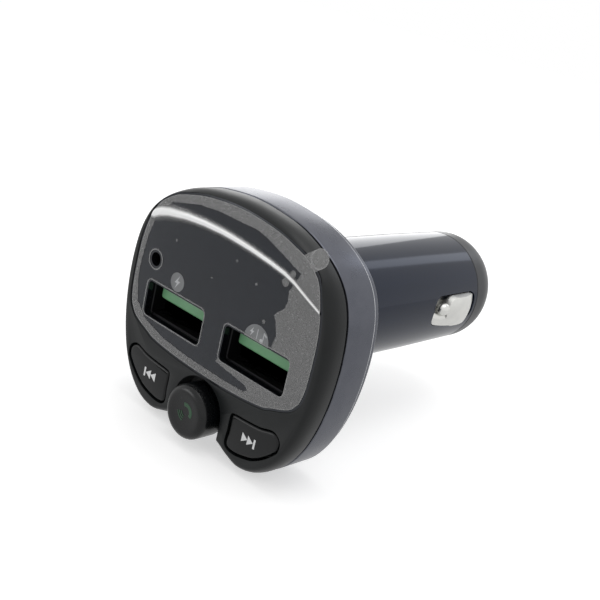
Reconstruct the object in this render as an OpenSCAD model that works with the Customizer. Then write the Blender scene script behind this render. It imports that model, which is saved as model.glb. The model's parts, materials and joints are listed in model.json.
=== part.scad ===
// Car FM transmitter: a display head with two USB sockets and three keys, on a 12 V plug.
// Frame: +Z up, the head faces -Y, the plug runs along +Y on the Y axis.
// The origin is on the plug's axis at the shoulder, where the barrel leaves the head.
// Depths inside the head are counted back from the lens face.

/* [Head] */
// Width of the head
head_w = 42.6; // [40:0.2:46]
// Height of the head above the plug's axis
head_rise = 18; // [17.6:0.2:20]
// Height of the head's lobes below the plug's axis
head_drop = 20.7; // [20.2:0.1:22.5]
// Depth from the lens face to the shoulder
head_d = 13.5; // [13.2:0.1:15]
// Depth at which the front bezel meets the head shell
parting_d = 3.8; // [3.6:0.1:4.4]
// Depth at which the head shell meets the rear cover
shell_end_d = 10.5; // [10.2:0.1:10.8]
// Wall of the head shell
shell_wall = 1.4; // [1.2:0.1:1.6]
// Rounding of the bezel's front edge
bezel_round = 1; // [0.6:0.1:1.2]
// Radius of the rear cover's dome
dome_r = 105; // [90:5:140]

/* [Lens and film] */
// Width of the bezel's rim beside the lens
rim_w = 1.8; // [1.6:0.1:2.2]
// Height of the lens above the plug's axis
lens_rise = 16.95; // [16.6:0.05:17]
// Height of the lens below the plug's axis
lens_drop = 10.1; // [9.9:0.05:10.3]
// Thickness of the lens
lens_t = 1.2; // [1:0.1:1.3]
// Thickness of the peel-off film
film_t = 0.12; // [0.08:0.02:0.2]
// Radius of the film's pull tab
tab_r = 1.4; // [1.2:0.1:2]

/* [USB sockets] */
// Height of the sockets' centres
port_z = -3.16; // [-3.3:0.02:-3]
// Width of the socket's opening
port_in_w = 12.5; // [12.4:0.05:12.6]
// Height of the socket's opening
port_in_h = 5.12; // [5.1:0.02:5.2]
// Sheet thickness of the socket's shell
port_sheet = 0.3; // [0.25:0.05:0.35]
// Width of the socket's tongue
tongue_w = 11.1; // [11:0.1:11.2]
// Thickness of the socket's tongue
tongue_t = 1.84; // [1.8:0.02:1.9]

/* [Keys] */
// Distance of a side key from the head's side
key_side = 4.4; // [4.2:0.1:4.8]
// Height of a side key
key_h = 6.6; // [6.4:0.1:6.7]
// Travel of a side key
key_travel = 0.5; // [0.3:0.05:0.5]
// Radius of the call knob
knob_r = 4.3; // [4:0.1:4.5]
// How far the call knob stands out of the face
knob_out = 2.5; // [2:0.1:3.5]
// Travel of the call knob
knob_travel = 0.6; // [0.3:0.05:0.6]

/* [Plug] */
// Radius of the barrel
barrel_r = 10.3; // [10.2:0.05:10.5]
// Wall of the barrel
barrel_wall = 1.3; // [1.1:0.1:1.4]
// Length of the barrel behind the shoulder
barrel_len = 43.4; // [40:0.2:48]
// Length of the tip cap
cap_len = 8.6; // [8.4:0.1:10]
// Radius of the tip cap's flat end
cap_flat_r = 3.65; // [3.65:0.05:4.2]
// Radius of the centre contact
contact_r = 2.3; // [2:0.1:2.5]
// Travel of the centre contact
contact_travel = 2; // [1:0.1:2.2]
// How far a ground clip stands out of the barrel
clip_out = 1.5; // [1.2:0.1:1.6]
// Length of a ground clip
clip_len = 12.6; // [12:0.2:13]
// Width of a ground clip
clip_w = 5.4; // [5:0.1:5.6]
// Travel of a ground clip
clip_travel = 1.7; // [1.6:0.05:1.8]

/* [Boards] */
// Thickness of the main board
board_t = 1; // [0.8:0.1:1]
// Thickness of the power board
power_t = 1.2; // [1:0.1:1.4]

/* [Hidden] */
$fn = 64;

// Clearances and the overrun of every cut
cut = 1;
seat_gap = 0.05;
slip_gap = 0.15;
key_gap = 0.3;
groove_gap = 0.3;

// Right halves of the outlines, from the top middle down to the bottom middle,
// as shares of the half width and of the rise or the drop
head_shares = [[0, 1], [0.244, 0.978], [0.441, 0.933], [0.62, 0.85], [0.78, 0.733],
    [0.892, 0.589], [0.962, 0.4], [0.995, 0.167], [1, -0.072], [0.981, -0.29], [0.939, -0.493],
    [0.873, -0.676], [0.77, -0.84], [0.629, -0.957], [0.479, -0.998], [0.347, -0.966],
    [0.216, -0.913], [0, -0.889]];
lens_shares = [[0, 1], [0.205, 0.988], [0.41, 0.956], [0.56, 0.912], [0.7, 0.857],
    [0.83, 0.76], [0.892, 0.67], [0.954, 0.495], [0.989, 0.3], [1, 0.05], [0.998, -0.25],
    [0.982, -0.47], [0.954, -0.594], [0.9, -0.71], [0.82, -0.79], [0.718, -0.86],
    [0.636, -0.918], [0.41, -0.97], [0.18, -0.995], [0, -1]];
// Outline of the right key inside its box, from the lower left corner upwards
key_shares = [[0, 0.08], [0, 0.42], [0, 0.76], [0.05, 0.84], [0.32, 0.87], [0.59, 0.91],
    [0.83, 1], [0.94, 0.955], [1, 0.85], [1, 0.71], [0.96, 0.59], [0.8, 0.36], [0.65, 0.2],
    [0.49, 0.09], [0.18, 0]];

// Points between two outline points
steps = 5;
key_steps = 3;

// Head
shell_start_d = parting_d + groove_gap;
lip_t = 1;
lip_len = 1.2;
cover_inset = 0.5;
cover_web = 0.9;
window_round = 0.7;

// Bezel plate behind the lens and the screw bosses
plate_t = 1;
boss_r = 1.8;
boss_in = 7;
boss_x = head_w / 2 - boss_in;
boss_top_z = 9.3;
boss_low_z = -8.6;
screw_r = 0.8;
screw_len = 4.6;
screw_head_r = 1.5;
screw_head_t = 0.7;
screw_head_gap = 0.1;
screw_slot_w = 0.4;

// Lens and film; the pull tab sits on the lens's upper right corner
lens_w = head_w - 2 * rim_w;
film_tab_shares = [0.805, 0.879];
film_tab_x = film_tab_shares[0] * lens_w / 2;
film_tab_z = film_tab_shares[1] * lens_rise;
film_tab_len = 4;
film_tab_tilt = 40;
film_inset = 0.35;

// Depths of the stack inside the head
lens_back_d = lens_t;
plate_d = lens_back_d + seat_gap;
plate_back_d = plate_d + plate_t;
board_d = shell_end_d - 0.5 * board_t;
board_back_d = board_d + board_t;
board_inset = 2.7;

// Sockets
port_x_share = 0.458;
port_x = port_x_share * lens_w / 2;
port_w = port_in_w + 2 * port_sheet;
port_h = port_in_h + 2 * port_sheet;
port_front_d = lens_back_d + 2 * seat_gap;
window_w = port_w + 2 * seat_gap;
window_h = port_h - 2 * seat_gap;
tongue_drop = 0.67;
tongue_d = port_front_d + 0.8;
insert_t = 1.4;
blade_w = 1;
blade_t = 0.2;
blade_pitch = 2.2;
blade_count = 4;
insert_gap = 0.05;

// Display
display_gap = 0.3;
display_w = 2 * (boss_x - boss_r - display_gap);
display_h = 10.2;
display_z = 8.6;
display_t = 4.6;
pin_count = 10;
pin_margin = 2.3;
pin_pitch = (display_w - 2 * pin_margin) / (pin_count - 1);
pin_r = 0.25;

// Microphone
mic_z = 3.3;
mic_hole_r = 1.1;
mic_r = 1.5;
mic_t = 1.5;
mic_gap = 0.5;
boot_r = 2.3;
mic_x = -display_w / 2 - boot_r - mic_gap;
boot_lip = 0.6;
mic_lead_r = 0.22;
mic_lead_x = 0.7;

// Keys and switches
well_r = 5.3;
key_to_well = 2;
key_left = well_r + key_to_well;
key_w = head_w / 2 - key_side - key_left;
key_up = 2.5;
key_low_z = key_up - head_drop;
key_deck_t = 2.4;
key_flange = 0.8;
key_flange_t = 0.7;
key_rest_gap = 0.1;
key_back_d = key_deck_t + key_rest_gap + key_flange_t + key_travel + key_gap;
stem_r = 1.4;
stem_x_share = 0.28;
stem_x = key_left + stem_x_share * key_w;
stem_up = 4;
stem_z = key_low_z + stem_up;
knob_up = 5.1;
knob_z = knob_up - head_drop;
knob_stem_z = knob_z + 0.28 * knob_r;
knob_edge = 0.8;
well_floor_t = 1;
well_d = 2.8;
knob_back_d = well_d - knob_travel - key_rest_gap - 0.1 * knob_edge;
clip_ring_r = 2.2;
clip_ring_t = 0.6;
switch_w = 4.6;
switch_t = 3.2;
actuator_r = 1;
actuator_guide = 0.4;
actuator_in = key_travel + actuator_guide;
actuator_out = 0.7;
call_switch_up = 2.3;
call_switch_z = knob_z + call_switch_up;
switch_front_d = board_d - switch_t;
actuator_front_d = switch_front_d - actuator_out;

// Chips on the main board
chip_t = 0.9;
bluetooth_w = 5.4;
bluetooth_x = -6;
fm_w = 4.6;
fm_x = 6;
chips_z = display_z;
crystal_w = 3.2;
crystal_h = 1.6;
crystal_drop = 6.6;
driver_w = 5;

// Plug
flange_r = 11.8;
flange_t = 1;
barrel_in_r = barrel_r - barrel_wall;
barrel_draft = 0.2;
barrel_back_r = barrel_r - barrel_draft;
clip_end = 1;
clip_y = barrel_len - clip_len - clip_end;
clip_foot_more = 0.7;
seat_t = 1.2;
seat_to_clip = 1.3;
neck_r = barrel_r - 0.25 * barrel_wall;
spigot_len = 2.5;
spigot_wall = 1;
cap_wall = 1.4;
cap_round = barrel_back_r - cap_flat_r;
power_z = -2;
power_start = 0.6;
power_len = clip_y - clip_foot_more - seat_to_clip - seat_t - power_start;
power_slip = 0.42;
power_w = 2 * (sqrt(pow(barrel_in_r, 2) - pow(power_t / 2 - power_z, 2)) - power_slip);
power_top_z = power_z + power_t / 2;
header_w = 10;
header_h = 2.4;
header_pins = 4;
header_pitch = 2.3;
header_pin_r = 0.35;
header_over = 2;
inductor_w = 7.6;
inductor_t = 4.2;
inductor_y_share = 0.342;
inductor_y = power_start + inductor_y_share * power_len;
can_r = 3;
can_h = 7.2;
can_end = 2.1;
input_cap_y = power_start + power_len - can_r - can_end;
converter_w = 5;
converter_t = 1.3;
converter_y_share = 0.438;
converter_y = power_start + converter_y_share * power_len;
output_cap_w = 3.2;
output_cap_t = 1.6;
output_cap_in = 0.3;
output_cap_gap = 0.4;
output_cap_x = power_w / 2 - output_cap_w - output_cap_in;
output_cap_y = input_cap_y - can_r - output_cap_t - output_cap_gap;

// Centre contact and its spring
seat_y = power_start + power_len;
seat_back_y = seat_y + seat_t;
stub_r = 1.5;
stub_len = 2;
contact_flange_r = 3.6;
contact_flange_t = 1;
cap_end_y = barrel_len + cap_len;
contact_rest = 0.8;
contact_out = contact_travel + contact_rest;
contact_flange_y = cap_end_y - cap_wall - contact_flange_t;
spring_wire = 0.6;
spring_r = 2.5;
spring_turns = 8;
spring_steps = 12;
spring_sides = 6;
spring_y0 = seat_back_y + spring_wire / 2 + seat_gap;
spring_y1 = contact_flange_y - spring_wire / 2 - seat_gap;

// Ground clips
clip_foot_t = 0.8;
clip_foot_in = 1.7;
clip_foot_x = barrel_in_r - clip_foot_in;
slot_gap = 0.25;
clip_spring_t = 0.4;
clip_spring_w = 4;
clip_spring_in = 1.2;
clip_spring_y = seat_back_y + clip_spring_in;
clip_post_x = 4.2;

// Profile of a clip's bump, as shares of its length and of its height
bump_shares = [[0, 0], [0, 0.28], [0.06, 0.5], [0.16, 0.72], [0.3, 0.9], [0.5, 1],
    [0.7, 0.97], [0.86, 0.8], [0.95, 0.5], [1, 0.2], [1, 0]];

function fy(d) = d - head_d;

function sized(shares, half_w, rise, drop) =
    [for (s = shares) [s[0] * half_w, s[1] > 0 ? s[1] * rise : s[1] * drop]];

function whole(half) = concat(half,
    [for (i = [len(half) - 2 : -1 : 1]) [-half[i][0], half[i][1]]]);

function blend(a, b, c, d, t) = 0.5 * (2 * b + (c - a) * t
    + (2 * a - 5 * b + 4 * c - d) * t * t + (3 * b - a - 3 * c + d) * t * t * t);

function smooth(p, n) = [for (i = [0 : len(p) - 1], k = [0 : n - 1])
    let (m = len(p))
    blend(p[(i + m - 1) % m], p[i], p[(i + 1) % m], p[(i + 2) % m], k / n)];

// A clockwise outline drawn in by a distance
function drawn_in(p, by) = [for (i = [0 : len(p) - 1])
    let (m = len(p), t = p[(i + 1) % m] - p[(i + m - 1) % m], l = norm(t))
    [p[i][0] + by * t[1] / l, p[i][1] - by * t[0] / l]];

head_points = smooth(whole(sized(head_shares, head_w / 2, head_rise, head_drop)), steps);
lens_points = smooth(whole(sized(lens_shares, lens_w / 2, lens_rise, lens_drop)), steps);
key_points = smooth([for (s = key_shares) [key_left + s[0] * key_w, key_low_z + s[1] * key_h]],
    key_steps);

module head_outline(by = 0) { polygon(drawn_in(head_points, by)); }
module lens_outline(by = 0) { polygon(drawn_in(lens_points, by)); }
module key_outline(by = 0) { polygon(drawn_in(key_points, by)); }

// An outline in X and Z, made solid between two depths
module slab(from_d, to_d) {
    translate([0, fy(to_d), 0]) rotate([90, 0, 0]) linear_extrude(to_d - from_d) children();
}

// A round bar along Y between two depths
module rod(r, from_d, to_d, x = 0, z = 0) {
    translate([x, fy(to_d), z]) rotate([90, 0, 0]) cylinder(r = r, h = to_d - from_d);
}

// A block between two depths, centred on x and z
module block(w, h, from_d, to_d, x = 0, z = 0) {
    translate([x - w / 2, fy(from_d), z - h / 2]) cube([w, to_d - from_d, h]);
}

module rounded_window(w, h, r) {
    square([w - 2 * r, h], center = true);
    square([w, h - 2 * r], center = true);
    for (x = [-1, 1], z = [-1, 1]) translate([x * (w / 2 - r), z * (h / 2 - r)]) circle(r);
}

module at_screws() {
    for (x = [-boss_x, boss_x], z = [boss_low_z, boss_top_z]) translate([x, 0, z]) children();
}

module both_ports() {
    for (x = [-port_x, port_x]) translate([x, port_z]) children();
}

// The round well around the call knob, open at the bottom
module well(by = 0) {
    translate([0, knob_z]) circle(well_r - by);
    translate([-well_r + by, knob_z - 2 * well_r]) square([2 * (well_r - by), 2 * well_r]);
}

module front_bezel() {
    color("#232628") difference() {
        union() {
            for (i = [0 : 3])
                slab(bezel_round * i / 4, parting_d)
                    head_outline(bezel_round * (1 - sqrt(1 - pow(1 - i / 4, 2))) + seat_gap);
            at_screws() rod(boss_r, plate_back_d - seat_gap, board_d);
            slab(parting_d - seat_gap, parting_d + lip_len) difference() {
                head_outline(shell_wall + seat_gap);
                head_outline(shell_wall + lip_t);
            }
        }
        slab(-cut, plate_d) lens_outline(-seat_gap);
        slab(plate_d - seat_gap, plate_back_d + cut) {
            both_ports() square([port_w + 2 * slip_gap, port_h + 2 * slip_gap], center = true);
            translate([0, display_z])
                square([display_w + 2 * slip_gap, display_h + 2 * slip_gap], center = true);
            translate([mic_x, mic_z]) circle(boot_r - boot_lip);
        }
        // Hollow behind the plate, with the key deck left standing
        slab(plate_back_d, parting_d + lip_len + cut) difference() {
            lens_outline(seat_gap);
            boss_circles();
        }
        slab(key_deck_t, parting_d + lip_len + cut) difference() {
            head_outline(shell_wall + lip_t);
            translate([-head_w / 2, -lens_drop]) square([head_w, head_w]);
            well(-well_floor_t);
            boss_circles();
        }
        slab(-cut, well_d) well();
        rod(stem_r + slip_gap, 0, parting_d + lip_len + cut, 0, knob_stem_z);
        slab(-cut, key_back_d) {
            key_outline(-key_gap);
            mirror([1, 0]) key_outline(-key_gap);
        }
        slab(well_d + well_floor_t, parting_d + lip_len + cut) well(-2 * well_floor_t);
        at_screws() rod(screw_r + seat_gap, board_d - screw_len, board_d + cut);
    }
}

module boss_circles() {
    for (x = [-boss_x, boss_x], z = [boss_low_z, boss_top_z]) translate([x, z]) circle(boss_r);
}

module display_lens() {
    color("#2b3036", 0.8) slab(0, lens_back_d) difference() {
        lens_outline();
        both_ports() rounded_window(window_w, window_h, window_round);
        translate([mic_x, mic_z]) circle(mic_hole_r);
    }
}

module protective_film() {
    color("#8c9092", 0.5) difference() {
        union() {
            slab(-film_t, 0) lens_outline(film_inset);
            slab(-film_t, 0) translate([film_tab_x, film_tab_z]) rotate(film_tab_tilt)
                translate([-film_tab_len, -tab_r + seat_gap])
                    square([film_tab_len, 2 * (tab_r - seat_gap)]);
            rod(tab_r, -film_t, 0, film_tab_x, film_tab_z);
        }
        slab(-film_t - cut, cut) {
            both_ports()
                rounded_window(window_w + film_inset, window_h + film_inset, window_round);
            translate([mic_x, mic_z]) circle(mic_hole_r + film_inset);
        }
    }
}

module head_shell() {
    color("#6d7278") slab(shell_start_d, shell_end_d) difference() {
        head_outline();
        head_outline(shell_wall);
    }
}

module rear_cover() {
    color("#84888c") difference() {
        union() {
            intersection() {
                slab(shell_end_d, head_d + cut) head_outline(cover_inset);
                translate([0, -sqrt(pow(dome_r, 2) - pow(neck_r, 2)), 0])
                    sphere(r = dome_r, $fn = 200);
            }
            slab(shell_end_d - lip_len, shell_end_d + seat_gap) difference() {
                head_outline(shell_wall + seat_gap);
                head_outline(shell_wall + lip_t);
            }
        }
        slab(shell_end_d - cut, board_back_d + 0.2 * cover_web)
            head_outline(shell_wall + lip_t);
        rod(flange_r + seat_gap, board_back_d, head_d - cover_web);
        rod(neck_r + seat_gap, board_back_d, head_d + cut);
        at_screws() rod(screw_head_r + screw_head_gap, board_back_d,
            board_back_d + screw_head_t + screw_head_gap);
    }
}

module clip_slot(side) {
    translate([side > 0 ? barrel_in_r / 2 : -barrel_r - cut, clip_y - slot_gap,
        -clip_w / 2 - slot_gap])
        cube([barrel_r + cut - barrel_in_r / 2, clip_len + 2 * slot_gap, clip_w + 2 * slot_gap]);
}

module plug_barrel() {
    color("#2b3140") difference() {
        union() {
            rod(neck_r, head_d - cover_web - flange_t, head_d + barrel_len);
            rod(barrel_r, head_d, head_d + clip_y - 2 * slot_gap);
            translate([0, clip_y - 2 * slot_gap, 0]) rotate([-90, 0, 0])
                cylinder(r1 = barrel_r, r2 = barrel_back_r,
                    h = barrel_len - clip_y + 2 * slot_gap);
            rod(flange_r, head_d - cover_web - flange_t, head_d - cover_web);
        }
        rod(barrel_in_r, 0, head_d + barrel_len + cut);
        clip_slot(1);
        clip_slot(-1);
    }
}

// The cap is turned about Y: a rounded shell with a spigot inside the barrel
module tip_cap() {
    spigot_r = barrel_in_r - seat_gap;
    cap_r = barrel_back_r;
    color("#5a6064") rotate([-90, 0, 0]) difference() {
        union() {
            translate([0, 0, barrel_len]) rotate_extrude() difference() {
                union() {
                    square([cap_r, cap_len - cap_round]);
                    square([cap_r - cap_round, cap_len]);
                    translate([cap_r - cap_round, cap_len - cap_round]) intersection() {
                        circle(cap_round);
                        square(cap_round);
                    }
                }
                square([cap_r - cap_round, cap_len - cap_wall]);
                square([cap_r - cap_wall, cap_len - cap_round]);
                translate([cap_r - cap_round, cap_len - cap_round]) intersection() {
                    circle(cap_round - cap_wall);
                    square(cap_round);
                }
            }
            translate([0, 0, barrel_len - spigot_len]) difference() {
                cylinder(r = spigot_r, h = spigot_len + seat_gap);
                translate([0, 0, -cut]) cylinder(r = spigot_r - spigot_wall, h = spigot_len + 2 * cut);
            }
        }
        translate([0, 0, cap_end_y - cap_wall - cut])
            cylinder(r = contact_r + slip_gap, h = cap_wall + 2 * cut);
        for (x = [-1, 1]) translate([x * (clip_foot_x + clip_foot_t / 2) - clip_travel,
            -clip_w / 2 - clip_foot_more - slot_gap, barrel_len - spigot_len - cut])
            cube([barrel_r, clip_w + 2 * clip_foot_more + 2 * slot_gap, spigot_len + cut]);
    }
}

module main_board() {
    color("#1f5a3c") difference() {
        slab(board_d, board_back_d) head_outline(board_inset);
        at_screws() rod(screw_r + seat_gap, board_d - cut, board_back_d + cut);
        for (i = [0 : header_pins - 1])
            rod(header_pin_r + seat_gap, board_d - cut, board_back_d + cut, header_x(i), header_z);
    }
}

header_z = power_top_z + header_pin_r + seat_gap;
function header_x(i) = (i - (header_pins - 1) / 2) * header_pitch;

module power_board() {
    color("#1f5a3c") translate([-power_w / 2, power_start, power_z - power_t / 2])
        cube([power_w, power_len, power_t]);
}

module board_header() {
    color("#1a1a1a") difference() {
        block(header_w, header_h, board_back_d, head_d + power_start, 0, header_z - header_h / 4);
        for (i = [0 : header_pins - 1])
            rod(header_pin_r + seat_gap, board_d, head_d + cut, header_x(i), header_z);
    }
    color("#c9a24a") for (i = [0 : header_pins - 1])
        rod(header_pin_r, board_d, head_d + power_start + header_over,
            header_x(i), header_z);
}

module display_module() {
    color("#101214") block(display_w, display_h, plate_d + seat_gap, plate_d + display_t, 0,
        display_z);
}

module display_pins() {
    color("#c9ccd0") for (i = [0 : pin_count - 1], z = [-1, 1])
        rod(pin_r, plate_d + display_t, board_d,
            (i - (pin_count - 1) / 2) * pin_pitch, display_z + z * 0.4 * display_h);
}

module usb_shell(side) {
    color("#c4c7ca") translate([side * port_x, 0, port_z]) difference() {
        block(port_w, port_h, port_front_d, board_d);
        block(port_in_w, port_in_h, port_front_d - cut, board_d + cut);
    }
}
module usb_shell_left() { usb_shell(-1); }
module usb_shell_right() { usb_shell(1); }

tongue_z = port_z + port_in_h / 2 - tongue_drop - tongue_t / 2;

module usb_insert(side) {
    color("#7fb389") difference() {
        union() {
            translate([side * port_x, 0, port_z])
                block(port_in_w - 2 * insert_gap, port_in_h - 2 * insert_gap,
                    board_d - insert_t, board_d);
            block(tongue_w, tongue_t, tongue_d, board_d, side * port_x, tongue_z);
        }
        blades(side, seat_gap);
    }
}
module usb_insert_left() { usb_insert(-1); }
module usb_insert_right() { usb_insert(1); }

module blades(side, by) {
    for (i = [0 : blade_count - 1])
        block(blade_w + 2 * by, blade_t + 2 * by, tongue_d + blade_w, board_d + by,
            side * port_x + (i - (blade_count - 1) / 2) * blade_pitch,
            tongue_z - tongue_t / 2 + blade_t / 2);
}
module usb_contacts_left() { color("#d9b45a") blades(-1, 0); }
module usb_contacts_right() { color("#d9b45a") blades(1, 0); }

module microphone() {
    color("#b9bcc0") {
        rod(mic_r, plate_back_d + boot_lip, plate_back_d + boot_lip + mic_t, mic_x, mic_z);
        for (x = [-1, 1])
            rod(mic_lead_r, plate_back_d + boot_lip + mic_t - seat_gap, board_d,
                mic_x + x * mic_lead_x, mic_z);
    }
}

module mic_boot() {
    color("#161616") difference() {
        rod(boot_r, plate_back_d, plate_back_d + boot_lip + mic_t, mic_x, mic_z);
        rod(mic_r + seat_gap, plate_back_d + boot_lip, board_d, mic_x, mic_z);
        rod(mic_hole_r, 0, board_d, mic_x, mic_z);
    }
}

module tact_switch(x, z) {
    color("#34373a") difference() {
        block(switch_w, switch_w, switch_front_d, board_d, x, z);
        rod(actuator_r + seat_gap, switch_front_d - cut, switch_front_d + actuator_in + cut, x, z);
    }
}
module prev_switch() { tact_switch(-stem_x, stem_z); }
module call_switch() { tact_switch(0, call_switch_z); }
module next_switch() { tact_switch(stem_x, stem_z); }

module actuator(x, z) {
    color("#e8e6dc") rod(actuator_r, actuator_front_d, switch_front_d + actuator_in, x, z);
}
module prev_actuator() { actuator(-stem_x, stem_z); }
module call_actuator() { actuator(0, call_switch_z); }
module next_actuator() { actuator(stem_x, stem_z); }

// A side key: cap in the bezel's window, a flange behind the deck and a stem to its switch
module side_key() {
    color("#26292b") {
        slab(key_rest_gap, key_deck_t + key_rest_gap + key_flange_t) key_outline();
        slab(key_deck_t + key_rest_gap, key_deck_t + key_rest_gap + key_flange_t)
            intersection() {
                key_outline(-key_flange);
                head_outline(shell_wall + lip_t + key_gap);
            }
        rod(stem_r, key_deck_t + key_rest_gap, actuator_front_d, stem_x, stem_z);
    }
}
module next_key() { side_key(); }
module prev_key() { mirror([1, 0, 0]) side_key(); }

module call_knob() {
    color("#1d1f21") {
        translate([0, fy(0), knob_z]) rotate([90, 0, 0]) translate([0, 0, -knob_back_d])
            rotate_extrude() {
                square([knob_r, knob_back_d + knob_out - knob_edge]);
                square([knob_r - knob_edge, knob_back_d + knob_out]);
                translate([knob_r - knob_edge, knob_back_d + knob_out - knob_edge])
                    intersection() {
                        circle(knob_edge);
                        square(knob_edge);
                    }
            }
        rod(stem_r, knob_back_d - seat_gap, actuator_front_d, 0, knob_stem_z);
        rod(clip_ring_r, well_d + well_floor_t + key_rest_gap,
            well_d + well_floor_t + key_rest_gap + clip_ring_t, 0, knob_stem_z);
    }
}

module chip(w, h, x, z) { block(w, h, board_d - chip_t, board_d, x, z); }
module bluetooth_chip() { color("#202020") chip(bluetooth_w, bluetooth_w, bluetooth_x, chips_z); }
module fm_chip() { color("#202020") chip(fm_w, fm_w, fm_x, chips_z); }
module crystal() { color("#c8cacc") chip(crystal_w, crystal_h, bluetooth_x, chips_z - crystal_drop); }
module display_driver() { color("#202020") chip(driver_w, driver_w, 0, chips_z); }

module on_power_board(y) { translate([0, y, power_top_z]) children(); }

module converter_chip() {
    color("#202020") translate([-converter_w / 2, converter_y,
        power_z - power_t / 2 - converter_t]) cube([converter_w, converter_w, converter_t]);
}
module power_inductor() {
    color("#3a3a3c") on_power_board(inductor_y)
        translate([-inductor_w / 2, -inductor_w / 2, 0])
            cube([inductor_w, inductor_w, inductor_t]);
}
module input_capacitor() {
    color("#8d9196") on_power_board(input_cap_y) cylinder(r = can_r, h = can_h);
}
module output_capacitor() {
    color("#b08a5a") on_power_board(output_cap_y)
        translate([output_cap_x, 0, 0]) cube([output_cap_w, output_cap_t, output_cap_t]);
}

module board_screws() {
    color("#b4b7ba") at_screws() difference() {
        union() {
            rod(screw_r, board_d - screw_len + cut, board_back_d + seat_gap);
            rod(screw_head_r, board_back_d, board_back_d + screw_head_t);
        }
        block(2 * screw_head_r, screw_slot_w, board_back_d + screw_head_t / 2,
            board_back_d + screw_head_t + cut);
    }
}

module contact_seat() {
    color("#d8d2c0") {
        translate([0, seat_back_y, 0]) rotate([90, 0, 0])
            cylinder(r = barrel_in_r - seat_gap, h = seat_t);
        translate([0, seat_back_y + stub_len, 0]) rotate([90, 0, 0])
            cylinder(r = stub_r, h = stub_len + seat_gap);
        for (x = [-1, 1]) translate([x * clip_post_x - clip_spring_t, seat_back_y - seat_gap,
            -clip_spring_w / 2]) cube([2 * clip_spring_t, clip_len, clip_spring_w]);
    }
}

// The contact spring is one tube along a helix about Y
function helix(t) = [spring_r * cos(360 * spring_turns * t),
    spring_y0 + (spring_y1 - spring_y0) * t, spring_r * sin(360 * spring_turns * t)];
spring_rings = spring_turns * spring_steps;
function unit(v) = v / norm(v);
function ring_points(k) = let (t = k / spring_rings, c = helix(t),
    along = unit(helix(t + 1 / spring_rings) - helix(t - 1 / spring_rings)),
    out = unit([c[0], 0, c[2]]), up = cross(along, out))
    [for (j = [0 : spring_sides - 1]) let (a = 360 * j / spring_sides)
        c + spring_wire / 2 * (cos(a) * out + sin(a) * up)];

module contact_spring() {
    n = spring_sides;
    points = [for (k = [0 : spring_rings], p = ring_points(k)) p];
    sides = [for (k = [0 : spring_rings - 1], j = [0 : n - 1], h = [0, 1])
        let (a = k * n + j, b = k * n + (j + 1) % n, c = a + n, d = b + n)
        h == 0 ? [a, c, b] : [b, c, d]];
    ends = concat([for (j = [1 : n - 2]) [0, j, j + 1]],
        [for (j = [1 : n - 2]) let (e = spring_rings * n) [e, e + j + 1, e + j]]);
    color("#c8cacc") polyhedron(points, concat(sides, ends));
}

module centre_contact() {
    color("#d0d2d4") rotate([-90, 0, 0]) {
        translate([0, 0, contact_flange_y]) cylinder(r = contact_flange_r, h = contact_flange_t);
        translate([0, 0, contact_flange_y])
            cylinder(r = contact_r, h = cap_end_y + contact_out - contact_r - contact_flange_y);
        translate([0, 0, cap_end_y + contact_out - contact_r]) sphere(contact_r);
    }
}

// A ground clip: a bump through the slot, a neck and a foot held behind the barrel wall
module ground_clip(side) {
    neck_x = clip_foot_x + clip_foot_t;
    top = barrel_r + clip_out - neck_x;
    color("#d2d2cc") scale_side(side) {
        translate([0, 0, -clip_w / 2]) linear_extrude(clip_w) polygon([for (s = bump_shares)
            [neck_x - seat_gap + s[1] * top, clip_y + s[0] * clip_len]]);
        translate([clip_foot_x, clip_y - clip_foot_more, -clip_w / 2 - clip_foot_more])
            cube([clip_foot_t, clip_len + 2 * clip_foot_more, clip_w + 2 * clip_foot_more]);
    }
}
module scale_side(side) { if (side > 0) children(); else mirror([1, 0, 0]) children(); }
module ground_clip_left() { ground_clip(-1); }
module ground_clip_right() { ground_clip(1); }

// A bowed leaf between the seat's post and the clip's foot
module clip_spring(side) {
    reach = clip_foot_x - seat_gap - clip_post_x - clip_spring_t;
    color("#c8cacc") scale_side(side)
        translate([clip_post_x + clip_spring_t, clip_spring_y, -clip_spring_w / 2])
            linear_extrude(clip_spring_w) difference() {
                polygon([[0, 0], [clip_spring_t, 0], [reach, clip_len / 3], [reach, clip_len / 2],
                    [clip_spring_t, 0.8 * clip_len], [0, 0.8 * clip_len]]);
                polygon([[-cut, 0.12 * clip_len], [0, 0.12 * clip_len],
                    [reach - clip_spring_t, 0.38 * clip_len], [reach - clip_spring_t, 0.45 * clip_len],
                    [0, 0.68 * clip_len], [-cut, 0.68 * clip_len]]);
            }
}
module clip_spring_left() { clip_spring(-1); }
module clip_spring_right() { clip_spring(1); }

front_bezel();
display_lens();
protective_film();
head_shell();
rear_cover();
plug_barrel();
tip_cap();
main_board();
power_board();
board_header();
display_module();
display_pins();
usb_shell_left();
usb_shell_right();
usb_insert_left();
usb_insert_right();
usb_contacts_left();
usb_contacts_right();
microphone();
mic_boot();
prev_switch();
call_switch();
next_switch();
prev_actuator();
call_actuator();
next_actuator();
prev_key();
call_knob();
next_key();
bluetooth_chip();
fm_chip();
crystal();
display_driver();
converter_chip();
power_inductor();
input_capacitor();
output_capacitor();
board_screws();
contact_seat();
contact_spring();
centre_contact();
ground_clip_left();
ground_clip_right();
clip_spring_left();
clip_spring_right();
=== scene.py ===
# %% [markdown]
# A car FM transmitter: a display head with two USB sockets and three keys, on a 12 V plug.
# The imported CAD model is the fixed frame. Every piece below is made in that frame, in metres,
# with the head facing -Y and the plug running along +Y.

# %% Load the frame
import json
import math

import bmesh
import bpy
import numpy as np
from mathutils import Matrix, Vector


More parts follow.
